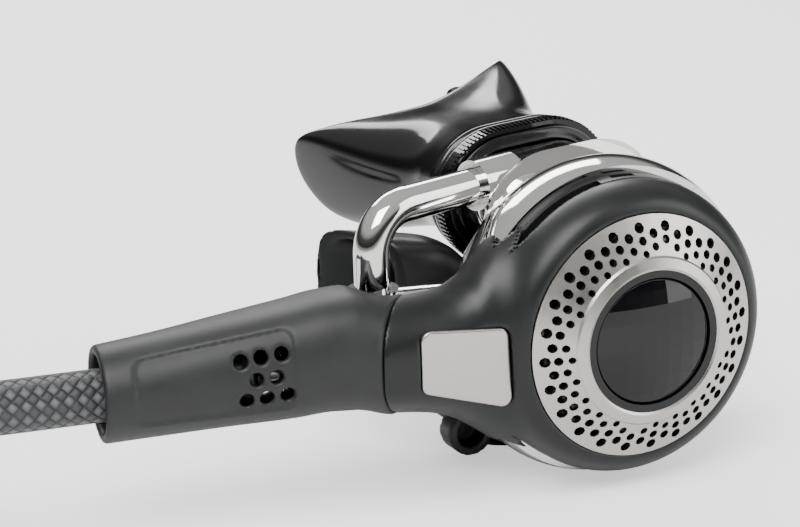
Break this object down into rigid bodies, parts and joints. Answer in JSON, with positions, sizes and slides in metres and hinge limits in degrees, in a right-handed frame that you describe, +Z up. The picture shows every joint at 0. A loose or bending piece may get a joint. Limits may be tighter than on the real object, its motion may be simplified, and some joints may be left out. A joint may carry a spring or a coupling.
{
  "type": "scuba second stage with hose",
  "caption": "Chromed breathing valve with a perforated purge cover, bypass tube, soft mouthpiece, exhaust tee and a braided hose lying in a loose coil.",
  "frame": {"origin": "on the table, in the middle of the exhaust tee's flat foot", "axes": "+Z up, -Y out through the purge cover, +Y out through the mouthpiece, -X along the hose"},
  "size_m": [0.3267, 0.189, 0.0757],
  "materials": {
    "case_chrome": "polished chrome plate",
    "ring_steel": "satin, finely turned",
    "spring_steel": "drawn wire and pressed sheet",
    "plain_brass": "machined",
    "cover_plastic": "black, fine grained",
    "button_plastic": "black, glossy",
    "pale_plastic": "natural nylon",
    "soft_silicone": "black, glossy silicone",
    "black_rubber": "black, matt",
    "hose_braid": "black and grey diagonal braid"
  },
  "bodies": {
    "root": {"case_body": "case_chrome", "cover_ring": "cover_plastic", "slip_ring": "pale_plastic", "diaphragm": "soft_silicone", "front_cover": "cover_plastic", "perforated_ring": "ring_steel", "button_guide": "button_plastic", "purge_spring": "spring_steel", "badge_plate": "ring_steel", "valve_barrel": "plain_brass", "barrel_nut": "spring_steel", "inlet_orifice": "plain_brass", "orifice_oring": "black_rubber", "poppet_spring": "spring_steel", "exhaust_valve": "soft_silicone", "exhaust_tee": "cover_plastic", "bypass_tube": "case_chrome", "bypass_orings": "black_rubber", "mouthpiece": "soft_silicone", "mouthpiece_clamp": "button_plastic", "hose_nut": "case_chrome", "hose_stem": "plain_brass", "stem_oring": "black_rubber", "hose_ferrule": "case_chrome", "hose_sleeve": "black_rubber", "hose": "hose_braid", "hose_coil": "hose_braid", "end_ferrule": "case_chrome", "end_fitting": "case_chrome", "fitting_oring": "black_rubber"},
    "button": {"purge_button": "button_plastic"},
    "plate": {"diaphragm_plate": "spring_steel"},
    "lever": {"demand_lever": "spring_steel"},
    "valve": {"poppet": "pale_plastic", "poppet_seat": "black_rubber", "poppet_locknut": "pale_plastic"}
  },
  "joints": [
    {"name": "purge_press", "type": "slide", "parent": "root", "child": "button", "axis": [0, 1, 0], "range_m": [0, 0.003], "stiffness_N_per_m": 600, "deforming": ["purge_spring"]},
    {"name": "plate_slide", "type": "slide", "parent": "root", "child": "plate", "axis": [0, 1, 0], "range_m": [0, 0.003], "deforming": ["diaphragm"]},
    {"name": "lever_tilt", "type": "hinge", "parent": "root", "child": "lever", "pos_m": [-0.006, -0.0235, 0.0361], "axis": [0, 0, 1], "range_deg": [0, 12.3]},
    {"name": "poppet_slide", "type": "slide", "parent": "root", "child": "valve", "axis": [1, 0, 0], "range_m": [0, 0.00065], "deforming": ["poppet_spring"]}
  ],
  "couplings": [
    {"joint": "plate_slide", "follows": "purge_press", "ratio": 1},
    {"joint": "lever_tilt", "follows": "purge_press", "rad_per_m": 71.4},
    {"joint": "poppet_slide", "follows": "purge_press", "ratio": 0.2133}
  ]
}
